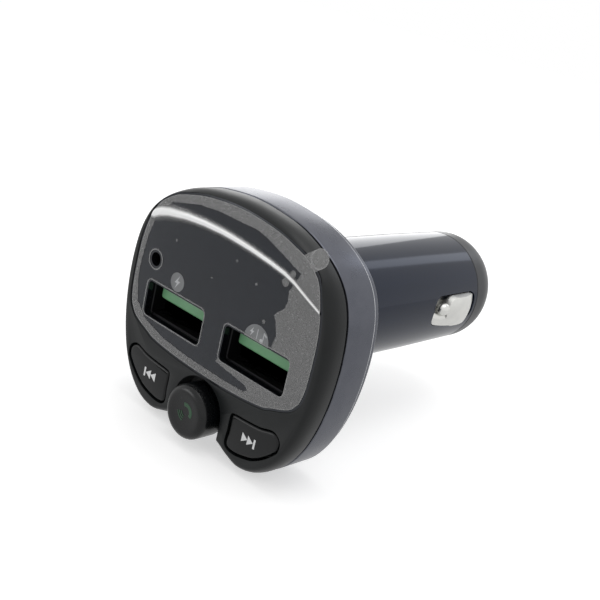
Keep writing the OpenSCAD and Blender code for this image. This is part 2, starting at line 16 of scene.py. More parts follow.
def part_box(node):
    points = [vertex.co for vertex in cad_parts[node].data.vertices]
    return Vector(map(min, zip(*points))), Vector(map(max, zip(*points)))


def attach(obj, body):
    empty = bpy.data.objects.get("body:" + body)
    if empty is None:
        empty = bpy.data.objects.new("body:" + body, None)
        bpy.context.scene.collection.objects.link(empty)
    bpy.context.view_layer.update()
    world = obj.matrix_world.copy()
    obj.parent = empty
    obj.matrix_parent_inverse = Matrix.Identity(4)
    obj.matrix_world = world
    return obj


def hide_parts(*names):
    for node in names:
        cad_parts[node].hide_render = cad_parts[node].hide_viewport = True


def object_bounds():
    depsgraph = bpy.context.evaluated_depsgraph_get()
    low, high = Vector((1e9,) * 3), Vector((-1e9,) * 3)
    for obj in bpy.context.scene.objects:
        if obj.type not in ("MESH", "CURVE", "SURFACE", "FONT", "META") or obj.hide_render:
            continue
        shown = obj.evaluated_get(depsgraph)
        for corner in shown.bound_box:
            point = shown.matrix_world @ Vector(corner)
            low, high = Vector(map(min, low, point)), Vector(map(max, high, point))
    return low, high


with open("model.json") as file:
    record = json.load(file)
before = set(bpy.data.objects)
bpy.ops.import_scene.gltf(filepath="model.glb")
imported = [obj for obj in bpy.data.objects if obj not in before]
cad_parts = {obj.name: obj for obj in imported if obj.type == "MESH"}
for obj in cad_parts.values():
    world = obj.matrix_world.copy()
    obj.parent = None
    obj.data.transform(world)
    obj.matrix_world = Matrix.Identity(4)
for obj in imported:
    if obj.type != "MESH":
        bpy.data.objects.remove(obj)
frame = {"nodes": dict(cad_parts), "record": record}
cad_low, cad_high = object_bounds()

MM = 0.001
NODES = frame["nodes"]

# %% [markdown]
# The camera comes first. Its place was worked out from the photograph: the four corners of
# each USB opening and the plug's outline fix where it stood and how it was turned.

# %% Camera
CAMERA_AT = Vector((91.86, -112.05, 50.28)) * MM
CAMERA_RIGHT = Vector((0.71687, 0.65888, 0.22800))
CAMERA_UP = Vector((-0.37843, 0.09306, 0.92094))
FOCAL_PX = 973.1
FRAME_PX = 600

scene = bpy.context.scene
camera_data = bpy.data.cameras.new("camera")
camera = bpy.data.objects.new("camera", camera_data)
scene.collection.objects.link(camera)
scene.camera = camera
camera_data.sensor_width = 36
camera_data.lens = FOCAL_PX / FRAME_PX * camera_data.sensor_width
camera_data.clip_start = 5 * MM
camera_data.clip_end = 5
turn = Matrix((CAMERA_RIGHT, CAMERA_UP, CAMERA_RIGHT.cross(CAMERA_UP))).transposed()
camera.matrix_world = Matrix.Translation(CAMERA_AT) @ turn.to_4x4()
scene.view_settings.view_transform = "Standard"

# %% [markdown]
# All places are read from the CAD boxes, in millimetres. Depths are counted back from the
# lens face, which is how the stack of parts in the head is easiest to think about.

# %% Sizes from the frame


def low(node):
    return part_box(node)[0] / MM


def high(node):
    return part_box(node)[1] / MM


FACE_Y = low("display_lens").y


def depth_of(y):
    return y - FACE_Y


HEAD_HALF = high("head_shell").x
HEAD_RISE = high("head_shell").z
HEAD_DROP = -low("head_shell").z
LENS_HALF = high("display_lens").x
LENS_RISE = high("display_lens").z
LENS_DROP = -low("display_lens").z
SHELL_FROM = depth_of(low("head_shell").y)
SHELL_TO = depth_of(high("head_shell").y)
SHOULDER = depth_of(0)
PORT_X = (low("usb_shell_right").x + high("usb_shell_right").x) / 2
PORT_Z = (low("usb_shell_right").z + high("usb_shell_right").z) / 2
PORT_W = high("usb_shell_right").x - low("usb_shell_right").x
PORT_H = high("usb_shell_right").z - low("usb_shell_right").z
KNOB_R = high("call_knob").x
KNOB_Z = (low("call_knob").z + high("call_knob").z) / 2
KNOB_OUT = -depth_of(low("call_knob").y)
BARREL_R = frame["record"]["mounts"][0]["dims"]["r_mm"]
BACK_R = high("tip_cap").x
BARREL_LEN = high("plug_barrel").y
CAP_END = high("tip_cap").y
MIC_X = (low("mic_boot").x + high("mic_boot").x) / 2
MIC_Z = (low("mic_boot").z + high("mic_boot").z) / 2
print("head", round(2 * HEAD_HALF, 2), "wide, barrel", round(BARREL_LEN, 2), "long, in mm")

# %% [markdown]
# The head's outline is no circle, so it is a smooth curve through a few points. Each point is
# a share of the half width and of the rise or drop, and the left half mirrors the right one.

# %% Outlines
HEAD_SHARES = [(0, 1), (0.244, 0.978), (0.441, 0.933), (0.62, 0.85), (0.78, 0.733),
               (0.892, 0.589), (0.962, 0.4), (0.995, 0.167), (1, -0.072), (0.981, -0.29),
               (0.939, -0.493), (0.873, -0.676), (0.77, -0.84), (0.629, -0.957),
               (0.479, -0.998), (0.347, -0.966), (0.216, -0.913), (0, -0.889)]
LENS_SHARES = [(0, 1), (0.205, 0.988), (0.41, 0.956), (0.56, 0.912), (0.7, 0.857),
               (0.83, 0.76), (0.892, 0.67), (0.954, 0.495), (0.989, 0.3), (1, 0.05),
               (0.998, -0.25), (0.982, -0.47), (0.954, -0.594), (0.9, -0.71), (0.82, -0.79),
               (0.718, -0.86), (0.636, -0.918), (0.41, -0.97), (0.18, -0.995), (0, -1)]
KEY_SHARES = [(0, 0.08), (0, 0.42), (0, 0.76), (0.05, 0.84), (0.32, 0.87), (0.59, 0.91),
              (0.83, 1), (0.94, 0.955), (1, 0.85), (1, 0.71), (0.96, 0.59), (0.8, 0.36),
              (0.65, 0.2), (0.49, 0.09), (0.18, 0)]
KEY_LEFT = 7.3
KEY_LOW = -18.2
KEY_W = 9.6
KEY_H = 6.6


def smooth_loop(points, steps):
    """A closed curve through the points, with steps points to each stretch."""
    p = np.array(points, float)
    a, b, c, d = np.roll(p, 1, 0), p, np.roll(p, -1, 0), np.roll(p, -2, 0)
    out = []
    for t in np.arange(steps) / steps:
        out.append(0.5 * (2 * b + (c - a) * t + (2 * a - 5 * b + 4 * c - d) * t ** 2
                          + (3 * b - a - 3 * c + d) * t ** 3))
    return np.stack(out, 1).reshape(-1, 2)


def drawn_in(loop, by):
    """A clockwise loop, moved inwards by a distance in millimetres."""
    along = np.roll(loop, -1, 0) - np.roll(loop, 1, 0)
    along /= np.linalg.norm(along, axis=1, keepdims=True)
    return loop + by * np.stack([along[:, 1], -along[:, 0]], 1)


def whole(shares, half, rise, drop):
    right = [(x * half, z * (rise if z > 0 else drop)) for x, z in shares]
    return right + [(-x, z) for x, z in right[-2:0:-1]]


HEAD_LOOP = smooth_loop(whole(HEAD_SHARES, HEAD_HALF, HEAD_RISE, HEAD_DROP), 7)
LENS_LOOP = smooth_loop(whole(LENS_SHARES, LENS_HALF, LENS_RISE, LENS_DROP), 6)
KEY_LOOP = smooth_loop([(KEY_LEFT + x * KEY_W, KEY_LOW + z * KEY_H) for x, z in KEY_SHARES], 6)


def round_window(x, z, w, h, r, steps=6):
    """A clockwise loop around a window with round corners."""
    loop = []
    for cx, cz, start in ((1, 1, 90), (1, -1, 0), (-1, -1, -90), (-1, 1, 180)):
        for k in range(steps + 1):
            a = math.radians(start - 90 * k / steps)
            loop.append((x + cx * (w / 2 - r) + r * math.cos(a),
                         z + cz * (h / 2 - r) + r * math.sin(a)))
    return np.array(loop)


def circle_loop(x, z, r, steps=48):
    a = -2 * np.pi * np.arange(steps) / steps
    return np.stack([x + r * np.cos(a), z + r * np.sin(a)], 1)


# %% [markdown]
# Most shells here are an outline carried back along a profile. Each profile point is how far
# the outline is drawn in and how deep it lies; the loops are bridged and the ends closed.

# %% Sweeps and finished meshes


def loop_edges(bm, loop, depth):
    verts = [bm.verts.new((x * MM, (FACE_Y + depth) * MM, z * MM)) for x, z in loop]
    return [bm.edges.new((verts[i - 1], verts[i])) for i in range(len(verts))]


def sweep(bm, loop, profile, closed=True):
    rings = [loop_edges(bm, drawn_in(loop, inset), depth) for inset, depth in profile]
    for near, far in zip(rings, rings[1:]):
        bmesh.ops.bridge_loops(bm, edges=near + far)
    if closed:
        for ring in (rings[0], rings[-1]):
            bmesh.ops.edgeloop_fill(bm, edges=ring)
    return rings


def arc(inset, depth, r, start, end, steps=6):
    """Profile points on an arc; 0 degrees points outwards and 90 to the rear."""
    angles = [math.radians(start + (end - start) * k / steps) for k in range(steps + 1)]
    return [(inset - r * math.cos(a), depth + r * math.sin(a)) for a in angles]


def spin_about_y(bm, points, steps=128):
    """A profile of (radius, y) points in millimetres, spun about the plug's axis."""
    verts = [bm.verts.new((r * MM, y * MM, 0)) for r, y in points]
    edges = [bm.edges.new(pair) for pair in zip(verts, verts[1:])]
    bmesh.ops.spin(bm, geom=verts + edges, axis=(0, 1, 0), cent=(0, 0, 0),
                   angle=2 * math.pi, steps=steps, use_merge=True)
    bmesh.ops.remove_doubles(bm, verts=bm.verts, dist=0.001 * MM)


def made(name, bm, sharp=35):
    """The bmesh as an object, with faces outwards and smooth up to the given angle."""
    bmesh.ops.remove_doubles(bm, verts=bm.verts, dist=0.002 * MM)
    bmesh.ops.recalc_face_normals(bm, faces=bm.faces)
    mesh = bpy.data.meshes.new(name)
    bm.to_mesh(mesh)
    bm.free()
    obj = bpy.data.objects.new(name, mesh)
    scene.collection.objects.link(obj)
    smooth(obj, sharp)
    return obj


def smooth(obj, sharp=35):
    obj.data.polygons.foreach_set("use_smooth", [True] * len(obj.data.polygons))
    obj.data.set_sharp_from_angle(angle=math.radians(sharp))


def bake_modifiers(obj):
    graph = bpy.context.evaluated_depsgraph_get()
    mesh = bpy.data.meshes.new_from_object(obj.evaluated_get(graph))
    obj.modifiers.clear()
    obj.data = mesh


def carve(obj, cutter, operation="DIFFERENCE"):
    """Cuts obj with another object, which is then thrown away."""
    cut = obj.modifiers.new("cut", "BOOLEAN")
    cut.object = cutter
    cut.operation = operation
    cut.solver = "EXACT"
    bake_modifiers(obj)
    bpy.data.objects.remove(cutter)


def break_edges(obj, width, segments=2, angle=40, sharp=35):
    """Takes the sharp edges off, as a moulded or pressed part never has any."""
    bevel = obj.modifiers.new("edges", "BEVEL")
    bevel.width = width * MM
    bevel.segments = segments
    bevel.limit_method = "ANGLE"
    bevel.angle_limit = math.radians(angle)
    bake_modifiers(obj)
    smooth(obj, sharp)


def prism(loop, from_d, to_d, name="cutter"):
    bm = bmesh.new()
    sweep(bm, loop, [(0, from_d), (0, to_d)])
    return made(name, bm)


def box(name, lo, hi):
    """A block between two corners, in millimetres."""
    bm = bmesh.new()
    bmesh.ops.create_cube(bm, size=1)
    lo, hi = Vector(lo), Vector(hi)
    bmesh.ops.scale(bm, vec=(hi - lo) * MM, verts=bm.verts)
    bmesh.ops.translate(bm, vec=(lo + hi) / 2 * MM, verts=bm.verts)
    return made(name, bm)


def rod(name, r, from_d, to_d, x=0, z=0, steps=64):
    return prism(circle_loop(x, z, r, steps), from_d, to_d, name)


def join(name, *parts):
    """Several finished meshes as one object."""
    bm = bmesh.new()
    for part in parts:
        bm.from_mesh(part.data)
        bpy.data.objects.remove(part)
    mesh = bpy.data.meshes.new(name)
    bm.to_mesh(mesh)
    bm.free()
    obj = bpy.data.objects.new(name, mesh)
    scene.collection.objects.link(obj)
    smooth(obj)
    return obj


def settle(obj, body, slot, material, *stands_for):
    """The piece gets its finish, rides its body and takes its node's place."""
    obj.data.materials.clear()
    obj.data.materials.append(material)
    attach(obj, body)
    if stands_for:
        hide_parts(*stands_for)
    print(obj.name, len(obj.data.polygons), "faces")
    return obj


# %% [markdown]
# A moulded or lacquered surface is never one flat colour. This finish mixes two close tones
# with a soft noise, varies the gloss with another, and adds a fine grain as bump.

# %% The base of every finish


def finish(name, tone, tone_2=None, patch=0.4, rough=(0.4, 0.5), metal=0.0, grain=0.05,
           grain_size=6.0, streak=(1, 1, 1), shine=0.5, tint=(1, 1, 1)):
    """A procedural material; patch and grain_size are cycles to the millimetre.

    shine is the strength of the gloss and tint its colour; streak stretches the patterns.
    """
    material = bpy.data.materials.new(name)
    material.use_nodes = True
    nodes, links = material.node_tree.nodes, material.node_tree.links
    shader = nodes["Principled BSDF"]
    shader.inputs["Metallic"].default_value = metal
    shader.inputs["Specular IOR Level"].default_value = shine
    shader.inputs["Specular Tint"].default_value = (*tint, 1)
    place = nodes.new("ShaderNodeTexCoord")
    stretch = nodes.new("ShaderNodeMapping")
    stretch.inputs["Scale"].default_value = [s / MM for s in streak]
    links.new(place.outputs["Object"], stretch.inputs["Vector"])
    soft = nodes.new("ShaderNodeTexNoise")
    soft.inputs["Scale"].default_value = patch
    soft.inputs["Detail"].default_value = 4
    links.new(stretch.outputs["Vector"], soft.inputs["Vector"])
    ramp = nodes.new("ShaderNodeValToRGB")
    ramp.color_ramp.elements[0].position = 0.3
    ramp.color_ramp.elements[1].position = 0.7
    ramp.color_ramp.elements[0].color = (*tone, 1)
    ramp.color_ramp.elements[1].color = (*(tone_2 or [c * 1.25 for c in tone]), 1)
    links.new(soft.outputs["Fac"], ramp.inputs["Fac"])
    links.new(ramp.outputs["Color"], shader.inputs["Base Color"])
    gloss = nodes.new("ShaderNodeMapRange")
    gloss.inputs["To Min"].default_value = rough[0]
    gloss.inputs["To Max"].default_value = rough[1]
    links.new(soft.outputs["Fac"], gloss.inputs["Value"])
    links.new(gloss.outputs["Result"], shader.inputs["Roughness"])
    if grain:
        fine = nodes.new("ShaderNodeTexNoise")
        fine.inputs["Scale"].default_value = grain_size
        fine.inputs["Detail"].default_value = 2
        links.new(stretch.outputs["Vector"], fine.inputs["Vector"])
        bump = nodes.new("ShaderNodeBump")
        bump.inputs["Strength"].default_value = grain
        bump.inputs["Distance"].default_value = 0.05 * MM
        links.new(fine.outputs["Fac"], bump.inputs["Height"])
        links.new(bump.outputs["Normal"], shader.inputs["Normal"])
    return material


black_plastic = finish("black_plastic", (0.004, 0.005, 0.0055), (0.006, 0.0075, 0.008),
                       rough=(0.34, 0.44), grain=0.2, grain_size=5, shine=0.3)
lens_black = finish("lens_black", (0.004, 0.0045, 0.006), rough=(0.08, 0.12), grain=0,
                    tint=(0.86, 0.91, 1))
grey_lacquer = finish("grey_lacquer", (0.1, 0.105, 0.125), (0.115, 0.12, 0.14),
                      rough=(0.24, 0.32), metal=0.85, grain=0.1, grain_size=9)
bright_edge = finish("bright_edge", (0.55, 0.56, 0.58), rough=(0.16, 0.24), metal=1.0,
                     streak=(1, 8, 1), grain=0.1)
barrel_gloss = finish("barrel_gloss", (0.003, 0.006, 0.016), (0.004, 0.008, 0.021),
                      rough=(0.1, 0.13), grain=0, streak=(1, 0.12, 1), shine=0.36,
                      tint=(0.74, 0.81, 1))
cap_grey = finish("cap_grey", (0.02, 0.022, 0.026), (0.026, 0.028, 0.032), rough=(0.3, 0.38),
                  grain=0.15)
key_satin = finish("key_satin", (0.003, 0.0035, 0.004), rough=(0.3, 0.38), grain=0.12, shine=0.3)
knob_satin = finish("knob_satin", (0.002, 0.0025, 0.003), rough=(0.24, 0.3), grain=0.06,
                    shine=0.35)
nickel = finish("nickel", (0.66, 0.66, 0.64), (0.74, 0.74, 0.71), rough=(0.3, 0.38), metal=1.0,
                grain=0.04)
socket_dark = finish("socket_dark", (0.012, 0.012, 0.013), rough=(0.3, 0.4), metal=0.6, grain=0.05,
                     shine=0.2)
tin_sheet = finish("tin_sheet", (0.3, 0.31, 0.33), rough=(0.25, 0.35), metal=1.0, grain=0.08,
                   streak=(1, 4, 1))
green_insert = finish("green_insert", (0.12, 0.3, 0.15), (0.15, 0.35, 0.18),
                      rough=(0.35, 0.45), grain=0.1)
gold_plate = finish("gold_plate", (0.75, 0.52, 0.18), rough=(0.18, 0.28), metal=1.0, grain=0.05)
white_print = finish("white_print", (0.72, 0.73, 0.74), (0.8, 0.8, 0.8), rough=(0.5, 0.6),
                     grain=0.05)
grey_print = finish("grey_print", (0.15, 0.155, 0.16), rough=(0.5, 0.6), grain=0.05)
pale_print = finish("pale_print", (0.4, 0.41, 0.42), rough=(0.5, 0.6), grain=0.05)
green_print = finish("green_print", (0.015, 0.06, 0.025), (0.02, 0.085, 0.035), rough=(0.45, 0.55),
                     grain=0.05)

# %% [markdown]
# The lens face is nearly flat: its rim falls back a little, and above a shallow arc it rolls
# back more, which is the line that catches the light. The film follows the same surface.

# %% The lens face
RIM_FALL = 0.22
ROLL_TOP = 12.35
ROLL_CURVE = 0.0115
ROLL_SLOPE = 0.11
ROLL_SOFT = 0.5
MID_Z = (LENS_RISE - LENS_DROP) / 2


def face_depth(x, z):
    """How far the lens face lies behind its middle, in millimetres."""
    across = np.abs(x / LENS_HALF) ** 4
    upright = np.abs((z - MID_Z) / (LENS_RISE - MID_Z)) ** 4
    above = np.maximum(z - (ROLL_TOP - ROLL_CURVE * x ** 2), 0)
    roll = ROLL_SLOPE * (np.sqrt(above ** 2 + ROLL_SOFT ** 2) - ROLL_SOFT)
    return RIM_FALL * np.minimum(across + upright, 1.5) + roll


def face_sheet(name, front, back, columns, rows, raised=lambda x, z: 0):
    """A fine grid over the lens, between two offsets from its face, as a closed sheet."""
    bm = bmesh.new()
    bmesh.ops.create_grid(bm, x_segments=columns, y_segments=rows, size=0.5)
    span = Vector((2 * LENS_HALF + 4, LENS_RISE + LENS_DROP + 4, 1))
    bmesh.ops.scale(bm, vec=span, verts=bm.verts)
    for v in bm.verts:
        x, z = v.co.x, v.co.y + MID_Z
        v.co = Vector((x, FACE_Y + face_depth(x, z) + front - raised(x, z), z)) * MM
    sheet = bmesh.ops.extrude_face_region(bm, geom=bm.faces[:])
    for v in [g for g in sheet["geom"] if isinstance(g, bmesh.types.BMVert)]:
        v.co.y += (back - front) * MM
    return made(name, bm)


LENS_T = depth_of(high("display_lens").y)
WINDOW_R = 0.7
lens = face_sheet("lens", 0, 3, 130, 100)
carve(lens, prism(LENS_LOOP, -2, LENS_T), "INTERSECT")
for side in (-1, 1):
    carve(lens, prism(round_window(side * PORT_X, PORT_Z, PORT_W + 0.1, PORT_H - 0.1, WINDOW_R),
                      -1, LENS_T + 1))
carve(lens, rod("cutter", 1.1, -1, LENS_T + 1, MIC_X, MIC_Z, 32))
smooth(lens, 30)
settle(lens, "housing", "display_lens", lens_black, "display_lens")

# %% [markdown]
# The front bezel is one moulding: a rim round the lens, a deck with a window for each side key,
# and a round well for the call knob that opens at the bottom. The rim's edge is rounded over
# more depth than width. The bezel is swept as a solid and then cut, as its mould would be.

# %% Front bezel
RIM_D = 0.12
RIM_R = 1.1
RIM_DEEP = 2.2
PARTING = SHELL_FROM - 0.3
DECK_D = 3.0
WELL_D = 2.8
WELL_R = 5.3
KEY_GAP = 0.3

bm = bmesh.new()
rim = [(inset, RIM_D + RIM_DEEP * (depth - RIM_D))
       for inset, depth in arc(RIM_R + 0.05, RIM_D + RIM_R, RIM_R, -90, 0, 8)]
sweep(bm, HEAD_LOOP, rim
      + [(0.05, PARTING - 0.15), (0.2, PARTING)])
bezel = made("bezel", bm)
carve(bezel, prism(drawn_in(LENS_LOOP, -0.06), -2, LENS_T + 0.02))
for mirror in (1, -1):
    window = drawn_in(KEY_LOOP, -KEY_GAP) * (mirror, 1)
    carve(bezel, prism(window, -1, DECK_D))
well = circle_loop(0, KNOB_Z, WELL_R, 96)
well = np.where(well[:, 1:] > KNOB_Z, well, np.stack([np.sign(well[:, 0]) * WELL_R,
                well[:, 1] - 3 * WELL_R], 1))
carve(bezel, prism(well, -1, WELL_D))
for side in (-1, 1):
    carve(bezel, prism(round_window(side * PORT_X, PORT_Z, PORT_W + 0.3, PORT_H + 0.3, 0.5),
                       0, 6))
carve(bezel, rod("cutter", 1.7, 0, 6, MIC_X, MIC_Z, 32))
break_edges(bezel, 0.14, 3)
settle(bezel, "housing", "front_bezel", black_plastic, "front_bezel")

# %% [markdown]
# The grey shell is a plain sleeve with its outline. It starts behind a thin groove and ends in
# a polished chamfer, so the rear edge shows as a bright line. The chamfer is its own ring.

# %% Head shell and its polished edge
SHELL_WALL = 1.4
CHAMFER = 0.55
bm = bmesh.new()
outer = arc(0.18, SHELL_FROM + 0.18, 0.18, -90, 0, 3) + [(0, SHELL_TO - CHAMFER)]
sweep(bm, HEAD_LOOP, [(SHELL_WALL, SHELL_TO - CHAMFER), (SHELL_WALL, SHELL_FROM)] + outer
      + [(SHELL_WALL, SHELL_TO - CHAMFER)], closed=False)
shell = made("shell", bm, 30)
settle(shell, "housing", "head_shell", grey_lacquer, "head_shell")

bm = bmesh.new()
sweep(bm, HEAD_LOOP, [(0, SHELL_TO - CHAMFER), (0.03, SHELL_TO - 0.75 * CHAMFER),
                      (0.3, SHELL_TO - 0.05), (0.4, SHELL_TO), (1.2, SHELL_TO),
                      (1.2, SHELL_TO - CHAMFER), (0, SHELL_TO - CHAMFER)], closed=False)
edge = made("shell_edge", bm, 30)
settle(edge, "housing", "head_shell", bright_edge)

# %% [markdown]
# The rear cover changes from the head's outline to the barrel's circle. Each ring lies between
# the two, and its depth follows a shallow dome.

# %% Rear cover
COVER_IN = 0.5
NECK_R = BARREL_R + 0.05
COVER_RIM = 1.1


def towards_circle(loop, r, share):
    """The loop, moved a share of the way to a circle of radius r round the plug's axis."""
    angles = np.arctan2(loop[:, 1], loop[:, 0])
    circle = r * np.stack([np.cos(angles), np.sin(angles)], 1)
    return loop * (1 - share) + circle * share


bm = bmesh.new()
rings = [loop_edges(bm, drawn_in(HEAD_LOOP, inset), depth) for inset, depth in
         [(1.6, SHELL_TO - 1), (1.6, SHELL_TO - 0.2), (COVER_IN, SHELL_TO - 0.2),
          (COVER_IN, SHELL_TO + COVER_RIM - 0.35)]
         + arc(COVER_IN + 0.35, SHELL_TO + COVER_RIM - 0.35, 0.35, 0, 75, 4)]
base = drawn_in(HEAD_LOOP, COVER_IN + 0.35)
DOME_FROM = SHELL_TO + COVER_RIM
for k in range(1, 13):
    share = k / 12
    depth = DOME_FROM + (SHOULDER - 0.05 - DOME_FROM) * math.sin(share * math.pi / 2)
    rings.append(loop_edges(bm, towards_circle(base, NECK_R, share), depth))
rings.append(loop_edges(bm, towards_circle(base, NECK_R, 1), SHOULDER - 1.5))
for near, far in zip(rings, rings[1:]):
    bmesh.ops.bridge_loops(bm, edges=near + far)
cover = made("cover", bm, 40)
settle(cover, "housing", "rear_cover", grey_lacquer, "rear_cover")

# %% [markdown]
# The plug is turned about one axis, so its profiles are spun: the gloss barrel, the thin ring
# line where the tip cap seats, and the rounded cap. The clip slots are cut afterwards.

# %% Barrel and tip cap
CLIP_LOW = low("ground_clip_right")
CLIP_HIGH = high("ground_clip_right")
CLIP_HALF = 2.7
SLOT_FROM = CLIP_LOW.y + 0.45
SLOT_TO = CLIP_HIGH.y - 0.45
BARREL_WALL = 1.3
BORE = BARREL_R - BARREL_WALL


def slot_cutter(side):
    r = 2.0
    loop = [(x, y) for x, y in round_window((SLOT_FROM + SLOT_TO) / 2, 0, SLOT_TO - SLOT_FROM,
                                            2 * CLIP_HALF + 0.3, r, 6)]
    bm = bmesh.new()
    near = [bm.verts.new((side * 5 * MM, y * MM, z * MM)) for y, z in loop]
    face = bm.faces.new(near)
    out = bmesh.ops.extrude_face_region(bm, geom=[face])
    for v in [g for g in out["geom"] if isinstance(g, bmesh.types.BMVert)]:
        v.co.x += side * 8 * MM
    return made("cutter", bm)


bm = bmesh.new()
spin_about_y(bm, [(BORE, -0.8), (BARREL_R - 0.35, -0.8), (BARREL_R - 0.35, 0), (BARREL_R, 0.02),
                  (BARREL_R, CLIP_LOW.y), (BACK_R + 0.02, BARREL_LEN - 0.12),
                  (BACK_R - 0.1, BARREL_LEN),
                  (BORE, BARREL_LEN), (BORE, -0.8)])
barrel = made("barrel", bm)
for side in (-1, 1):
    carve(barrel, slot_cutter(side))
smooth(barrel)
settle(barrel, "housing", "plug_barrel", barrel_gloss, "plug_barrel")

CAP_ROUND = 6.6
CAP_R = BACK_R
CAP_HOLE = 2.45
cap_arc = [(CAP_R - CAP_ROUND + CAP_ROUND * math.cos(a), CAP_END - CAP_ROUND
            + CAP_ROUND * math.sin(a)) for a in np.linspace(0, math.pi / 2, 16)]
inner_arc = [(CAP_R - CAP_ROUND + (CAP_ROUND - 1.4) * math.cos(a), CAP_END - CAP_ROUND
              + (CAP_ROUND - 1.4) * math.sin(a)) for a in np.linspace(math.pi / 2, 0, 8)]
bm = bmesh.new()
spin_about_y(bm, [(CAP_R - 1.4, BARREL_LEN + 0.1), (CAP_R - 0.15, BARREL_LEN + 0.1),
                  (CAP_R, BARREL_LEN + 0.25)] + cap_arc
             + [(CAP_HOLE + 0.3, CAP_END), (CAP_HOLE, CAP_END - 0.3),
                (CAP_HOLE, CAP_END - 1.4)] + inner_arc + [(CAP_R - 1.4, BARREL_LEN + 0.1)])
cap = made("cap", bm)
settle(cap, "housing", "tip_cap", cap_grey, "tip_cap")

# %% [markdown]
# The centre contact is a nickel pin with a domed nose, standing on a short flange.

# %% Centre contact
PIN_R = 2.3
PIN_END = high("centre_contact").y
PIN_FLANGE = low("centre_contact").y
nose = [(PIN_R * math.cos(a), PIN_END - 1.5 + 1.5 * math.sin(a))
        for a in np.linspace(0, math.pi / 2, 12)]
bm = bmesh.new()
spin_about_y(bm, [(0, PIN_FLANGE), (3.4, PIN_FLANGE), (3.55, PIN_FLANGE + 0.15),
                  (3.55, PIN_FLANGE + 0.9), (PIN_R, PIN_FLANGE + 1)] + nose, 96)
pin = made("contact_pin", bm)
settle(pin, "centre_pin", "centre_contact", nickel, "centre_contact")

# %% [markdown]
# Each ground clip is pressed from sheet: a long bowed pad, rounded at both ends, and in front
# of it a narrower tongue with a small bead, which is the first thing to touch the socket.
# A subdivided block is bowed by moving its vertices, and its edges are rounded by a bevel.

# %% Ground clips
CLIP_TOP = CLIP_HIGH.x
CLIP_BASE = CLIP_LOW.x + 0.9
PAD_FROM = SLOT_FROM + 3.0
PAD_TO = SLOT_TO - 0.4


def clip_height(y):
    """The bow of the clip, in millimetres out from the plug's axis."""
    t = (y - SLOT_FROM - 0.3) / (SLOT_TO - SLOT_FROM - 0.6)
    t = min(max(t, 0), 1)
    return BARREL_R - 1.1 + (CLIP_TOP - BARREL_R + 1.1) * math.sin(math.pi * t) ** 0.55


def bowed_plate(name, y0, y1, z0, z1, lift=0.0):
    bm = bmesh.new()
    bmesh.ops.create_grid(bm, x_segments=28, y_segments=8, size=0.5)
    bmesh.ops.scale(bm, vec=((y1 - y0), (z1 - z0), 1), verts=bm.verts)
    flat = [(v, v.co.x + (y0 + y1) / 2, v.co.y + (z0 + z1) / 2) for v in bm.verts]
    for v, y, z in flat:
        crown = 0.5 * (1 - (2 * (z - z0) / (z1 - z0) - 1) ** 2)
        v.co = Vector((clip_height(y) - 0.5 + crown + lift, y, z)) * MM
    skin = bmesh.ops.extrude_face_region(bm, geom=bm.faces[:])
    for v in [g for g in skin["geom"] if isinstance(g, bmesh.types.BMVert)]:
        v.co.x = CLIP_BASE * MM
    return made(name, bm)


def ground_clip(side, body, node):
    pad = bowed_plate("pad", PAD_FROM, PAD_TO, -CLIP_HALF, CLIP_HALF)
    corner = round_window((PAD_FROM + PAD_TO) / 2, 0, PAD_TO - PAD_FROM, 2 * CLIP_HALF, 2.3, 10)
    mask = bmesh.new()
    face = mask.faces.new([mask.verts.new((0, y * MM, z * MM)) for y, z in corner])
    out = bmesh.ops.extrude_face_region(mask, geom=[face])
    for v in [g for g in out["geom"] if isinstance(g, bmesh.types.BMVert)]:
        v.co.x = 20 * MM
    carve(pad, made("mask", mask), "INTERSECT")
    break_edges(pad, 0.75, 5, 50)
    low_leg = bowed_plate("leg", SLOT_FROM + 0.4, PAD_FROM + 2.2, -CLIP_HALF, -0.3, -0.1)
    break_edges(low_leg, 0.6, 5, 50)
    bm = bmesh.new()
    bmesh.ops.create_uvsphere(bm, u_segments=24, v_segments=16, radius=1.2 * MM)
    bmesh.ops.scale(bm, vec=(0.9, 1.15, 0.95), verts=bm.verts)
    bead_y = PAD_FROM - 0.7
    bead_at = Vector((clip_height(bead_y) - 0.35, bead_y, 0.55))
    bmesh.ops.translate(bm, vec=bead_at * MM, verts=bm.verts)
    bead = made("bead", bm)
    foot = box("foot", (CLIP_LOW.x, CLIP_LOW.y, CLIP_LOW.z),
               (CLIP_BASE, CLIP_HIGH.y, CLIP_HIGH.z))
    clip = join("clip_" + body[5:], pad, low_leg, bead, foot)
    if side < 0:
        bm = bmesh.new()
        bm.from_mesh(clip.data)
        bmesh.ops.scale(bm, vec=(-1, 1, 1), verts=bm.verts)
        bmesh.ops.reverse_faces(bm, faces=bm.faces)
        bm.to_mesh(clip.data)
        bm.free()
    settle(clip, body, "ground_clip", nickel, node)


ground_clip(1, "clip_right", "ground_clip_right")
ground_clip(-1, "clip_left", "ground_clip_left")

# %% [markdown]
# Each USB socket is a folded sheet shell, a green tongue with a bevelled nose and four gold
# blades under it. The sheet is thin, so the shell is one loop swept inside another.

# %% USB sockets
SHEET = 0.3
PORT_FRONT = depth_of(low("usb_shell_right").y)
PORT_BACK = depth_of(high("usb_shell_right").y)
TONGUE_FRONT = depth_of(low("usb_insert_right").y)
TONGUE_W = 11.1
TONGUE_T = 1.84
TONGUE_Z = PORT_Z + PORT_H / 2 - SHEET - 0.67 - TONGUE_T / 2


